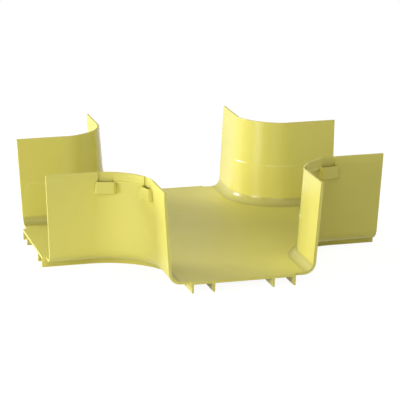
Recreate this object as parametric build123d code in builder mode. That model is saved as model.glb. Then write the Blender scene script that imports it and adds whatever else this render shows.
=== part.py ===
"""Four-way fitting of a fibre raceway: one moulding with four open channel arms."""
from build123d import *
from math import asin, cos, degrees, radians, sin, tan
import os

# Sizes of the channel
arm_reach = 175.0          # centre of the cross to the lip at each open end
mouth_width = 154.0        # clear width between the walls at the rim
wall_height = 93.0         # underside of the floor to the rim
wall_t = 2.9               # thickness of the walls
floor_t = 2.6              # thickness of the floor
wall_lean = 4.05           # outward lean of the walls, in degrees
corner_radius = 9.2        # inside radius where the floor turns up into a wall
bend_radius = 50.0         # radius of the inner face of each bend, at the rim
end_setback = 4.1          # how far the wall ends draw back from the lip, at the floor
rim_band = 8.0             # upright outer band below the rim
rim_round = 0.8            # rounding of the rim's inner edge
rim_break = 0.3            # bevel of the rim's outer edge

# Sizes of the ribs under the floor
rib_depth = 8.6            # floor underside to the plane the fitting stands on
rib_t = 2.4                # thickness of a rib at the floor
rib_tip_t = 1.8            # thickness of a rib at its foot
skirt_inset = 22.0         # outer face of the wall, at the floor, to the outer rib
rib_spacing = 21.3         # outer rib, which follows the bends, to the straight inner rib

# Sizes of the clip pockets outside each bend
pocket_turn = 14.1         # from the end of the bend to the middle of a pocket, in degrees
pocket_drop = 9.0          # rim to the top of a pocket
pocket_height = 12.4
pocket_reach = 5.2         # plate face to the outer face of the wall, at the pocket's middle
pocket_draft = 3.8         # taper of the pocket's faces towards its foot, in degrees
pocket_flare = 12.0        # slant of the side that faces the open end, in degrees
pocket_round = 1.2         # rounding of the plate's upright edges
pocket_bevel = 0.9         # bevel round the foot
plate_near = 9.2           # middle of the pocket to the plate's edge on the open end's side
plate_far = 8.3            # middle of the pocket to the plate's edge on the corner's side
plate_t = 1.6
slot_width = 15.0
slot_foot_t = 1.5          # material left under the slot
slot_bite = 1.2            # how deep the slot's back cuts into the rim band

# Sizes of the ledge between two pockets
ledge_drop = 11.0          # rim to the underside of the ledge
ledge_t = 1.8              # height of the ledge's front face, below its sloped top
ledge_reach = 1.4          # how far the ledge stands out from the wall

# Sizes of the parting step inside the bends and the walls of the X arms
step_height = 44.9         # underside of the floor to the step's edge
step_depth = 0.4           # how far the lower wall stands proud at the step
step_bevel = 1.4           # height of the bevel over the step's edge
step_end_gap = 6.0         # arm end to the place where the step has died out
step_run_out = 6.0         # length over which the step dies out near the arm end
step_tail = 2.0            # length over which it dies out past a bend, in the Y arms

# Places that follow from the sizes
lean = radians(wall_lean)
skin = wall_t / cos(lean)
z_floor = rib_depth
z_deck = z_floor + floor_t
z_rim = z_floor + wall_height
half_mouth = mouth_width / 2
bend_axis = half_mouth + bend_radius
z_band = z_rim - rim_band
z_step = z_floor + step_height
z_lift = z_deck + corner_radius
step_end = arm_reach - step_end_gap - step_run_out
z_pocket = z_rim - pocket_drop
z_ledge = z_rim - ledge_drop


def inner_at(z):
    """Half width between the inner faces of the walls at height z."""
    return half_mouth - (z_rim - z) * tan(lean)


def outer_at(z):
    """Half width over the outer faces of the walls at height z."""
    return inner_at(z) + skin


def outer_radius(z):
    """Radius of a bend's outer face at height z, about the bend's upright axis."""
    return bend_axis - outer_at(z)


def step_points(depth):
    """Section of the parting step at the given depth, sunk a third into the wall."""
    return [
        (inner_at(z_lift), z_lift),
        (inner_at(z_step) - depth, z_step),
        (inner_at(z_step + step_bevel), z_step + step_bevel),
        (inner_at(z_step + step_bevel) + wall_t / 3, z_step + step_bevel),
        (inner_at(z_lift) + wall_t / 3, z_lift),
    ]


# Lines under the floor, from the middle of a channel
skirt_offset = outer_at(z_floor) - skirt_inset
inner_rib_offset = skirt_offset - rib_spacing
floor_edge = skirt_offset + rib_t / 2

# Section of a rib, from its foot up into the floor
rib_points = [
    (-rib_tip_t / 2, 0),
    (rib_tip_t / 2, 0),
    (rib_t / 2, z_floor + floor_t / 2),
    (-rib_t / 2, z_floor + floor_t / 2),
]

# Planes: the end of a bend, across the side arm, the corner's diagonal, the drawn back wall end
bend_end = Plane.XZ.offset(bend_axis)
side_arm = Plane(origin=(0, 0, 0), x_dir=(0, -1, 0), z_dir=(-1, 0, 0))
bend_line = Axis((bend_axis, -bend_axis, 0), (0, 0, -1))
diagonal = Plane(origin=(0, 0, 0), z_dir=(1, 1, 0))
wall_end = Plane(
    origin=(0, -arm_reach, z_rim),
    x_dir=(1, 0, 0),
    z_dir=(0, -wall_height, -end_setback),
)

# Plan frame of a pocket: X runs along the plate to the corner, Y from the bend's axis to the wall
turn = radians(pocket_turn)
pocket_top = Plane(
    origin=(bend_axis, -bend_axis, z_pocket),
    x_dir=(sin(turn), cos(turn), 0),
    z_dir=(0, 0, 1),
)
plate_face = outer_radius(z_pocket) - pocket_reach
pocket_back = outer_radius(z_pocket - pocket_height) + wall_t / 4
pocket_depth = pocket_back - plate_face
slot_front = plate_face + plate_t
slot_depth = pocket_height - slot_foot_t

# One pocket, still without its slot: drafted towards its foot, one side along the diagonal
with BuildPart() as pocket:
    with BuildSketch(pocket_top):
        with BuildLine():
            Polyline(
                (-plate_near, plate_face),
                (plate_far, plate_face),
                (plate_far + pocket_depth * tan(radians(45) - turn), pocket_back),
                (-plate_near - pocket_depth * tan(radians(pocket_flare)), pocket_back),
                close=True,
            )
        make_face()
        Circle(pocket_back, mode=Mode.INTERSECT)
    extrude(amount=-pocket_height)
    drafted = pocket.faces().filter_by(GeomType.PLANE).filter_by(Axis.Z, reverse=True)
    draft(drafted, Plane.XY.offset(z_pocket), pocket_draft)
    plate = pocket.faces().filter_by(GeomType.PLANE).sort_by_distance(pocket_top.origin)[0]
    fillet(plate.edges().sort_by(Axis.Z)[1:-1], radius=pocket_round)
    foot = pocket.faces().sort_by(Axis.Z)[0]
    chamfer(foot.edges().sort_by_distance(pocket_top.origin)[:-1], length=pocket_bevel)

# One half corner: the straight wall of the front arm and half of its bend
with BuildPart() as fitting:
    with BuildSketch(bend_end) as wall:
        with BuildLine():
            Polyline(
                (skirt_offset, z_floor),
                (outer_at(z_floor), z_floor),
                (outer_at(z_band), z_band),
                (outer_at(z_band), z_rim),
                (half_mouth, z_rim),
                (inner_at(z_deck), z_deck),
                (skirt_offset, z_deck),
                close=True,
            )
        make_face()
        fillet(wall.vertices().sort_by_distance((outer_at(z_floor), z_floor))[0], corner_radius + wall_t)
        fillet(wall.vertices().sort_by_distance((inner_at(z_deck), z_deck))[0], corner_radius)
        fillet(wall.vertices().sort_by_distance((half_mouth, z_rim))[0], rim_round)
        chamfer(wall.vertices().sort_by_distance((outer_at(z_band), z_rim))[0], rim_break)
    extrude(amount=arm_reach - bend_axis)
    revolve(wall.sketch, axis=bend_line, revolution_arc=45)
    split(bisect_by=wall_end, keep=Keep.BOTTOM)

    # Skirt: the outer rib, which runs on to the lip
    with BuildSketch(bend_end) as skirt:
        with Locations((skirt_offset, 0)):
            Polygon(*rib_points, align=None)
    extrude(amount=arm_reach - bend_axis)
    revolve(skirt.sketch, axis=bend_line, revolution_arc=45)

    # Pocket, and the slot that drops behind its plate and thins the rim above it
    add(pocket.part)
    with BuildSketch(pocket_top.offset(-slot_depth)):
        with Locations((0, slot_front)):
            Rectangle(slot_width, wall_t + pocket_depth, align=(Align.CENTER, Align.MIN))
        Circle(outer_radius(z_band) + slot_bite, mode=Mode.INTERSECT)
    extrude(amount=slot_depth + pocket_drop + rim_round, mode=Mode.SUBTRACT)

    # Ledge from the pocket to the corner's diagonal, with a sloped top under the rim band
    ledge_front = outer_radius(z_ledge) - ledge_reach
    ledge_root = outer_radius(z_ledge) + wall_t / 2
    ledge_start = pocket_turn + degrees(asin(plate_far / ledge_front))
    with BuildSketch(Plane(origin=(bend_axis, -bend_axis, 0), x_dir=(-1, 1, 0), z_dir=(1, 1, 0))):
        with BuildLine():
            Polyline(
                (ledge_front, z_ledge),
                (ledge_front, z_ledge + ledge_t),
                (outer_radius(z_band), z_band),
                (ledge_root, z_band),
                (ledge_root, z_ledge),
                close=True,
            )
        make_face()
    revolve(axis=bend_line, revolution_arc=ledge_start - 45)

    # The other half of the corner
    mirror(about=diagonal)

    # Parting step round the bend, which dies out just past it in the front arm
    with BuildSketch(bend_end) as step:
        with BuildLine():
            Polyline(*step_points(step_depth), close=True)
        make_face()
    with BuildSketch(bend_end.offset(step_tail)):
        with BuildLine():
            Polyline(*step_points(0), close=True)
        make_face()
    loft()
    revolve(step.sketch, axis=bend_line, revolution_arc=90)

    # Its run along the side arm, which dies out short of the open end
    with BuildSketch(side_arm.offset(-bend_axis)):
        with BuildLine():
            Polyline(*step_points(step_depth), close=True)
        make_face()
    extrude(amount=bend_axis - step_end)
    with BuildSketch(side_arm.offset(-step_end)):
        with BuildLine():
            Polyline(*step_points(step_depth), close=True)
        make_face()
    with BuildSketch(side_arm.offset(-step_end - step_run_out)):
        with BuildLine():
            Polyline(*step_points(0), close=True)
        make_face()
    loft()

    # The other three corners
    mirror(about=Plane.YZ)
    mirror(about=Plane.XZ)

    # Floor, which runs on past the wall ends as a lip between the skirts
    with BuildSketch(Plane.XY.offset(z_floor)):
        Rectangle(2 * bend_axis, 2 * bend_axis)
        with GridLocations(2 * bend_axis, 2 * bend_axis, 2, 2):
            Circle(bend_axis - floor_edge, mode=Mode.SUBTRACT)
        Rectangle(2 * floor_edge, 2 * arm_reach)
        Rectangle(2 * arm_reach, 2 * floor_edge)
    extrude(amount=floor_t)

    # Inner ribs, straight through under both channels
    with BuildSketch(Plane.XZ, Plane.YZ):
        with Locations((inner_rib_offset, 0), (-inner_rib_offset, 0)):
            Polygon(*rib_points, align=None)
    extrude(amount=arm_reach, both=True)

fitting.part.label = "cross_body"

os.makedirs("parts", exist_ok=True)
export_step(fitting.part, "parts/cross_body.step")
print("solids", len(fitting.part.solids()), "volume", round(fitting.part.volume / 1000, 1), "cm3")
box = fitting.part.bounding_box()
print("size", [round(v, 2) for v in (box.size.X, box.size.Y, box.size.Z)])
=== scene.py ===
"""Looks of a four-way fibre raceway fitting: one moulding of yellow plastic on a pale floor."""

from math import cos, pi, radians, sin

import bpy
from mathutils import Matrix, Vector


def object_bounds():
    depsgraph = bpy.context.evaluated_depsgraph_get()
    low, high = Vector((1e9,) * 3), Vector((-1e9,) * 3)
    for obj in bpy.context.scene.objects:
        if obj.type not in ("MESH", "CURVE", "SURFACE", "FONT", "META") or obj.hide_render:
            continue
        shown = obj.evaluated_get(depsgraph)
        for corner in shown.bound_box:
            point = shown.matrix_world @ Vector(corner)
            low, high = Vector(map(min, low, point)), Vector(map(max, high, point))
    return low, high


bl_info = {
    "name": "Fibre raceway fitting",
    "version": (1, 0, 0),
    "blender": (4, 5, 0),
    "location": "View3D > Sidebar > Raceway",
    "description": "Yellow plastic of a raceway fitting, its floor, its lamps and its camera",
    "category": "Object",
}

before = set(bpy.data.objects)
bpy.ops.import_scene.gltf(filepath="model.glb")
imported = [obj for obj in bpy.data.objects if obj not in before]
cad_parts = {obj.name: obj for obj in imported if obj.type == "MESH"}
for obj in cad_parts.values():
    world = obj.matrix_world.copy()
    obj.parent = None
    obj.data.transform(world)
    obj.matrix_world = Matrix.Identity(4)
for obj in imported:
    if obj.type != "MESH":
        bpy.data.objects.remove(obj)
CAD_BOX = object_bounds()

MOULDING = "cross_body"

# How strongly the plastic mirrors: the photograph's mirrors less white than a plain plastic does
PLASTIC_IOR = 1.5
PLASTIC_SPECULAR = 0.28

# Noise textures of the skin: cells per metre, detail and roughness. The grain's cells per metre
# come from its size.
FLOW_CLOUDS = (14.0, 3.0, 0.5)
ROUGHNESS_PATCHES = (60.0, 2.0, 0.5)
GRAIN_DETAIL = 2.0
GRAIN_FALLOFF = 0.6

# Noise values at which a patch is at its least and at its most rough
PATCH_RANGE = (0.3, 0.7)

# Heights of the coves, where the floor turns up into the walls and the painted cove shade lies, in
# metres
COVE_TOP = 0.0204
COVE_FADE = 0.0004

# How far a surface faces up: nought on an upright face, 0.07 on the leaning inner walls and one
# on the floor
INNER_FROM_OUTER = (0.02, 0.05)
COVE_FROM_WALL = (0.09, 0.30)
COVE_TO_FLOOR = (0.996, 0.9995)
GLOSS_TO_SATIN = (0.40, 0.85)

# Painted shade in the creases round the pockets, taken from an ambient occlusion node: how near
# the other wall is, how open the place is where the painted shade is full and where it is gone,
# and the heights between which it sets in.
# Lengths in metres.
CREASE_REACH = 0.008
CREASE_FROM_OPEN = (0.20, 0.60)
CREASE_HEIGHTS = (0.060, 0.070)
CREASE_SAMPLES = 8

# Sockets of a Mix node set to colours, which also holds those for values and vectors
MIX_FACTOR, MIX_FIRST, MIX_SECOND = 0, 6, 7
MIX_RESULT = 2

WHITE = (1.0, 1.0, 1.0, 1.0)

# Lamps: name, azimuth and elevation of the light in degrees, its width and height, and its watts.
# Azimuth 0 stands in front of the object, on -Y, and grows towards +X.
LAMP_DISTANCE = 2.5
LAMPS = (
    ("softbox_back_left", -127.0, 11.0, 0.95, 0.70, 42.4),
    ("softbox_left", -70.0, 5.0, 0.85, 0.80, 23.1),
    ("panel_front", -20.0, 22.0, 2.40, 1.80, 22.9),
    ("softbox_right", 90.0, 8.0, 1.20, 1.00, 12.1),
    ("panel_top_back", 180.0, 68.0, 1.60, 1.60, 9.8),
    ("panel_top_front", 0.0, 68.0, 1.60, 1.60, 7.8),
    ("spot_left", -112.0, 20.0, 0.30, 0.30, 8.6),
)

# Share of plain white in what is seen of the floor, and its level: the rest is the lit floor
FLOOR_WHITE_SHARE = 0.8
FLOOR_WHITE_LEVEL = 1.17

# Camera, solved from the photograph's straight edges: place and reach in metres, turns in
# radians, and lens and sensor in millimetres
CAMERA_PLACE = (-0.55315, -2.06958, 0.62343)
CAMERA_TILT = pi / 2 - 0.2642
CAMERA_TURN = -0.2624
CAMERA_LENS = 192.06
CAMERA_SENSOR = 36.0
CAMERA_REACH = 50.0


# ---------------------------------------------------------------------------
# Settings
# ---------------------------------------------------------------------------

class RacewayPlasticSettings(bpy.types.PropertyGroup):
    """Colour and finish of the moulded plastic, and the painted shade in its coves and creases"""

    base_colour: bpy.props.FloatVectorProperty(
        name="Plastic colour",
        description="Colour of the plastic through its whole thickness",
        subtype="COLOR",
        size=3,
        min=0.0,
        max=1.0,
        default=(0.80, 0.737, 0.176),
    )
    flow_colour: bpy.props.FloatVectorProperty(
        name="Flow mark colour",
        description="Slightly greyer colour in the faint clouds that the melt leaves",
        subtype="COLOR",
        size=3,
        min=0.0,
        max=1.0,
        default=(0.785, 0.719, 0.168),
    )
    # Painted shade: a darker colour that stands in for the shade in the coves between the floor
    # and the walls
    cove_shade_colour: bpy.props.FloatVectorProperty(
        name="Cove colour",
        description="Slightly duller colour in the coves between the floor and the walls",
        subtype="COLOR",
        size=3,
        min=0.0,
        max=1.0,
        default=(0.59, 0.543, 0.145),
    )
    # Painted shade: a darker colour that stands in for the shade in the slots and in the corners
    # round the pockets and ledges
    crease_shade_colour: bpy.props.FloatVectorProperty(
        name="Crease colour",
        description="Deeper colour in the slots and in the corners round the pockets and ledges",
        subtype="COLOR",
        size=3,
        min=0.0,
        max=1.0,
        default=(0.18, 0.162, 0.045),
    )
    gloss_roughness: bpy.props.FloatProperty(
        name="Gloss roughness",
        description="Roughness of the polished inner walls, which fades to satin down the coves",
        subtype="FACTOR",
        min=0.0,
        max=1.0,
        default=0.20,
    )
    satin_roughness: bpy.props.FloatProperty(
        name="Satin roughness",
        description="Roughness of the floor and the outer faces",
        subtype="FACTOR",
        min=0.0,
        max=1.0,
        default=0.45,
    )
    roughness_spread: bpy.props.FloatProperty(
        name="Roughness spread",
        description="How far the skin's roughness wanders from its mean",
        subtype="FACTOR",
        min=0.0,
        max=0.5,
        default=0.03,
    )
    grain_size: bpy.props.FloatProperty(
        name="Grain size",
        description="Width of one grain of the fine skin texture",
        subtype="DISTANCE",
        unit="LENGTH",
        min=0.0001,
        max=0.01,
        default=0.0007,
    )
    grain_depth: bpy.props.FloatProperty(
        name="Grain depth",
        description="Height of the fine skin texture",
        subtype="DISTANCE",
        unit="LENGTH",
        min=0.0,
        max=0.001,
        default=0.000004,
    )


class RacewayStageSettings(bpy.types.PropertyGroup):
    """Floor and background"""

    floor_colour: bpy.props.FloatVectorProperty(
        name="Floor colour",
        description="Colour that the floor shows to the object and in its shadows",
        subtype="COLOR",
        size=3,
        min=0.0,
        max=1.0,
        default=(0.80, 0.80, 0.80),
    )
    floor_width: bpy.props.FloatProperty(
        name="Floor width",
        description="Side of the square table top that is the floor",
        subtype="DISTANCE",
        unit="LENGTH",
        min=0.5,
        max=50.0,
        default=1.2,
    )
    world_level: bpy.props.FloatProperty(
        name="World level",
        description="Strength of the even light from all round",
        min=0.0,
        max=5.0,
        default=0.01,
    )


# The sidebar's boxes: a group of the settings above and the operator that uses it
SIDEBAR_BOXES = (
    ("raceway_plastic", "raceway.plastic"),
    ("raceway_stage", "raceway.stage"),
)
HIDDEN_PROPERTIES = {"rna_type", "name"}


# ---------------------------------------------------------------------------
# Helpers
# ---------------------------------------------------------------------------

def deselect_all():
    """Leaves nothing selected, so that an operator acts on its own new object only."""
    bpy.ops.object.select_all(action="DESELECT")


def new_material(name):
    """A node material with only its output node."""
    material = bpy.data.materials.new(name)
    material.use_nodes = True
    nodes = material.node_tree.nodes
    nodes.clear()
    output = nodes.new("ShaderNodeOutputMaterial")
    return material, nodes, material.node_tree.links, output


def colour4(colour):
    """A colour with full alpha."""
    return (*colour, 1.0)


def feed(links, value, socket):
    """Links another node's output to a socket, or sets the socket to a plain value."""
    if isinstance(value, bpy.types.NodeSocket):
        links.new(value, socket)
    else:
        socket.default_value = value


def noise(nodes, links, vector, scale, detail, roughness):
    """A noise texture on the piece's own coordinates, in noise cells per metre."""
    texture = nodes.new("ShaderNodeTexNoise")
    texture.inputs["Scale"].default_value = scale
    texture.inputs["Detail"].default_value = detail
    texture.inputs["Roughness"].default_value = roughness
    links.new(vector, texture.inputs["Vector"])
    return texture.outputs["Fac"]


def ramp(nodes, links, value, start, end, low=0.0, high=1.0):
    """A value that goes from low at start to high at end, and stays level past them."""
    node = nodes.new("ShaderNodeMapRange")
    node.inputs["From Min"].default_value = start
    node.inputs["From Max"].default_value = end
    node.inputs["To Min"].default_value = low
    node.inputs["To Max"].default_value = high
    links.new(value, node.inputs["Value"])
    return node.outputs["Result"]


def combine(nodes, links, operation, first, second):
    """Two values, or a value and a number, multiplied, added or the larger of the two."""
    node = nodes.new("ShaderNodeMath")
    node.operation = operation
    feed(links, first, node.inputs[0])
    feed(links, second, node.inputs[1])
    return node.outputs["Value"]


def blend(nodes, links, factor, first, second):
    """A colour that goes from the first to the second as the factor goes from nought to one."""
    node = nodes.new("ShaderNodeMix")
    node.data_type = "RGBA"
    feed(links, factor, node.inputs[MIX_FACTOR])
    feed(links, first, node.inputs[MIX_FIRST])
    feed(links, second, node.inputs[MIX_SECOND])
    return node.outputs[MIX_RESULT]


def height_of(nodes, links, vector):
    """The upward share of a vector."""
    parts = nodes.new("ShaderNodeSeparateXYZ")
    links.new(vector, parts.inputs["Vector"])
    return parts.outputs["Z"]


def cove_shade_mask(nodes, links, facing, height):
    """Where the painted shade of the coves goes: one in the coves between the floor and the walls,
    and nought elsewhere.
    """
    off_wall = ramp(nodes, links, facing, *COVE_FROM_WALL)
    off_floor = ramp(nodes, links, facing, *COVE_TO_FLOOR, low=1.0, high=0.0)
    low_down = ramp(nodes, links, height, COVE_TOP, COVE_TOP + COVE_FADE, low=1.0, high=0.0)
    between = combine(nodes, links, "MULTIPLY", off_wall, off_floor)
    return combine(nodes, links, "MULTIPLY", between, low_down)


def gloss_mask(nodes, links, facing):
    """One on the polished inner walls, fading down the coves to nought, and nought elsewhere."""
    inner = ramp(nodes, links, facing, *INNER_FROM_OUTER)
    upright = ramp(nodes, links, facing, *GLOSS_TO_SATIN, low=1.0, high=0.0)
    return combine(nodes, links, "MULTIPLY", inner, upright)


def crease_shade_mask(nodes, links, height):
    """Where the painted shade goes, from ambient occlusion: one in the slots and the tight corners
    round the pockets, and nought elsewhere.
    """
    hollow = nodes.new("ShaderNodeAmbientOcclusion")
    hollow.only_local = True
    hollow.samples = CREASE_SAMPLES
    hollow.inputs["Distance"].default_value = CREASE_REACH
    closed = ramp(nodes, links, hollow.outputs["AO"], *CREASE_FROM_OPEN, low=1.0, high=0.0)
    high_up = ramp(nodes, links, height, *CREASE_HEIGHTS)
    return combine(nodes, links, "MULTIPLY", closed, high_up)


def make_plastic(settings):
    """Yellow plastic: polished inside and satin elsewhere, with painted shade darkening its coves
    and creases.

    Faint flow clouds are in its colour, and it has a wandering roughness and a very fine grain.
    """
    material, nodes, links, output = new_material("raceway_plastic")
    place = nodes.new("ShaderNodeTexCoord").outputs["Object"]
    height = height_of(nodes, links, place)
    facing = height_of(nodes, links, nodes.new("ShaderNodeNewGeometry").outputs["Normal"])
    skin = nodes.new("ShaderNodeBsdfPrincipled")
    skin.inputs["IOR"].default_value = PLASTIC_IOR
    skin.inputs["Specular IOR Level"].default_value = PLASTIC_SPECULAR
    links.new(skin.outputs["BSDF"], output.inputs["Surface"])

    colour = colour4(settings.base_colour)
    for mask, deeper in (
        (noise(nodes, links, place, *FLOW_CLOUDS), settings.flow_colour),
        # The next two colours are painted shade: darker colour in the coves and in the creases
        # round the pockets
        (cove_shade_mask(nodes, links, facing, height), settings.cove_shade_colour),
        (crease_shade_mask(nodes, links, height), settings.crease_shade_colour),
    ):
        colour = blend(nodes, links, mask, colour, colour4(deeper))
    links.new(colour, skin.inputs["Base Color"])

    spread = settings.roughness_spread
    polished = gloss_mask(nodes, links, facing)
    level = ramp(
        nodes, links, polished, 0.0, 1.0, settings.satin_roughness, settings.gloss_roughness
    )
    patches = noise(nodes, links, place, *ROUGHNESS_PATCHES)
    wander = ramp(nodes, links, patches, *PATCH_RANGE, -spread, spread)
    links.new(combine(nodes, links, "ADD", level, wander), skin.inputs["Roughness"])

    cells = 1.0 / settings.grain_size
    grain = nodes.new("ShaderNodeBump")
    grain.inputs["Strength"].default_value = 1.0
    grain.inputs["Distance"].default_value = settings.grain_depth
    bumps = noise(nodes, links, place, cells, GRAIN_DETAIL, GRAIN_FALLOFF)
    links.new(bumps, grain.inputs["Height"])
    links.new(grain.outputs["Normal"], skin.inputs["Normal"])
    return material


def seen_directly(nodes, links):
    """One where a ray comes from the camera, a reflection or glass, and nought elsewhere."""
    path = nodes.new("ShaderNodeLightPath").outputs
    seen = combine(nodes, links, "MAXIMUM", path["Is Camera Ray"], path["Is Glossy Ray"])
    return combine(nodes, links, "MAXIMUM", seen, path["Is Transmission Ray"])


def show(nodes, links, factor, first, second, output):
    """Sends the first shader to the output where the factor is nought, the second where one."""
    mix = nodes.new("ShaderNodeMixShader")
    links.new(factor, mix.inputs["Fac"])
    links.new(first, mix.inputs[1])
    links.new(second, mix.inputs[2])
    links.new(mix.outputs["Shader"], output.inputs["Surface"])


def make_floor_material(settings):
    """Mostly white to the camera, mirrors and glass, so that only a faint shadow shows on it."""
    material, nodes, links, output = new_material("white_floor")
    matt = nodes.new("ShaderNodeBsdfDiffuse")
    matt.inputs["Color"].default_value = colour4(settings.floor_colour)
    glow = nodes.new("ShaderNodeEmission")
    glow.inputs["Color"].default_value = WHITE
    glow.inputs["Strength"].default_value = FLOOR_WHITE_LEVEL
    seen = seen_directly(nodes, links)
    share = combine(nodes, links, "MULTIPLY", seen, FLOOR_WHITE_SHARE)
    show(nodes, links, share, matt.outputs["BSDF"], glow.outputs["Emission"], output)
    return material


def background(nodes, strength):
    """A plain white background."""
    node = nodes.new("ShaderNodeBackground")
    node.inputs["Color"].default_value = WHITE
    node.inputs["Strength"].default_value = strength
    return node.outputs["Background"]


def make_world(settings):
    """White behind the object, and an even light from all round."""
    world = bpy.data.worlds.new("studio_white")
    world.use_nodes = True
    nodes, links = world.node_tree.nodes, world.node_tree.links
    nodes.clear()
    output = nodes.new("ShaderNodeOutputWorld")
    level = background(nodes, settings.world_level)
    white = background(nodes, 1.0)
    show(nodes, links, seen_directly(nodes, links), level, white, output)
    bpy.context.scene.world = world


def add_lamp(name, azimuth, elevation, width, height, watts):
    """A soft lamp that looks at the middle of the fitting."""
    turn, rise = radians(azimuth), radians(elevation)
    middle = (CAD_BOX[0] + CAD_BOX[1]) / 2
    back = Vector((sin(turn) * cos(rise), -cos(turn) * cos(rise), sin(rise)))
    deselect_all()
    bpy.ops.object.light_add(type="AREA", location=middle + back * LAMP_DISTANCE)
    lamp = bpy.context.object
    lamp.name = name
    lamp.rotation_mode = "QUATERNION"
    lamp.rotation_quaternion = back.to_track_quat("Z", "Y")
    lamp.data.shape = "RECTANGLE"
    lamp.data.size = width
    lamp.data.size_y = height
    lamp.data.energy = watts


def add_camera():
    """The camera that the photograph was taken with, as the scene's own."""
    deselect_all()
    bpy.ops.object.camera_add(location=CAMERA_PLACE, rotation=(CAMERA_TILT, 0.0, CAMERA_TURN))
    camera = bpy.context.object
    camera.name = "studio_camera"
    camera.data.sensor_width = CAMERA_SENSOR
    camera.data.lens = CAMERA_LENS
    camera.data.clip_end = CAMERA_REACH
    bpy.context.scene.camera = camera


# ---------------------------------------------------------------------------
# Operators
# ---------------------------------------------------------------------------

class RACEWAY_OT_plastic(bpy.types.Operator):
    """Gives the moulding its yellow plastic"""

    bl_idname = "raceway.plastic"
    bl_label = "Dress the moulding"

    def execute(self, context):
        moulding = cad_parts[MOULDING]
        plastic = make_plastic(context.scene.raceway_plastic)
        for slot in moulding.material_slots:
            slot.material = plastic
        return {"FINISHED"}


class RACEWAY_OT_stage(bpy.types.Operator):
    """Makes the floor, the white background, the lamps and the camera"""

    bl_idname = "raceway.stage"
    bl_label = "Set the stage"

    def execute(self, context):
        settings = context.scene.raceway_stage
        deselect_all()
        bpy.ops.mesh.primitive_plane_add(size=settings.floor_width)
        floor = context.object
        floor.name = "studio_floor"
        floor.data.materials.append(make_floor_material(settings))
        make_world(settings)
        for lamp in LAMPS:
            add_lamp(*lamp)
        add_camera()
        context.scene.view_settings.view_transform = "Standard"
        return {"FINISHED"}


class RACEWAY_PT_sidebar(bpy.types.Panel):
    """Lists the fitting's settings and steps in the 3D view's sidebar"""

    bl_idname = "RACEWAY_PT_sidebar"
    bl_label = "Fibre raceway fitting"
    bl_space_type = "VIEW_3D"
    bl_region_type = "UI"
    bl_category = "Raceway"

    def draw(self, context):
        for group, operator in SIDEBAR_BOXES:
            settings = getattr(context.scene, group)
            box = self.layout.box()
            for name in settings.bl_rna.properties.keys():
                if name not in HIDDEN_PROPERTIES:
                    box.prop(settings, name)
            box.operator(operator)


CLASSES = (
    RacewayPlasticSettings,
    RacewayStageSettings,
    RACEWAY_OT_plastic,
    RACEWAY_OT_stage,
    RACEWAY_PT_sidebar,
)


def register():
    """Adds the classes to Blender and the two groups of settings to its scenes."""
    for item in CLASSES:
        bpy.utils.register_class(item)
    bpy.types.Scene.raceway_plastic = bpy.props.PointerProperty(type=RacewayPlasticSettings)
    bpy.types.Scene.raceway_stage = bpy.props.PointerProperty(type=RacewayStageSettings)


def unregister():
    """Takes out what register() added, the last thing first."""
    del bpy.types.Scene.raceway_stage
    del bpy.types.Scene.raceway_plastic
    for item in reversed(CLASSES):
        bpy.utils.unregister_class(item)


def main():
    """Builds the whole scene."""
    register()
    bpy.ops.raceway.plastic()
    bpy.ops.raceway.stage()


if __name__ == "__main__":
    main()
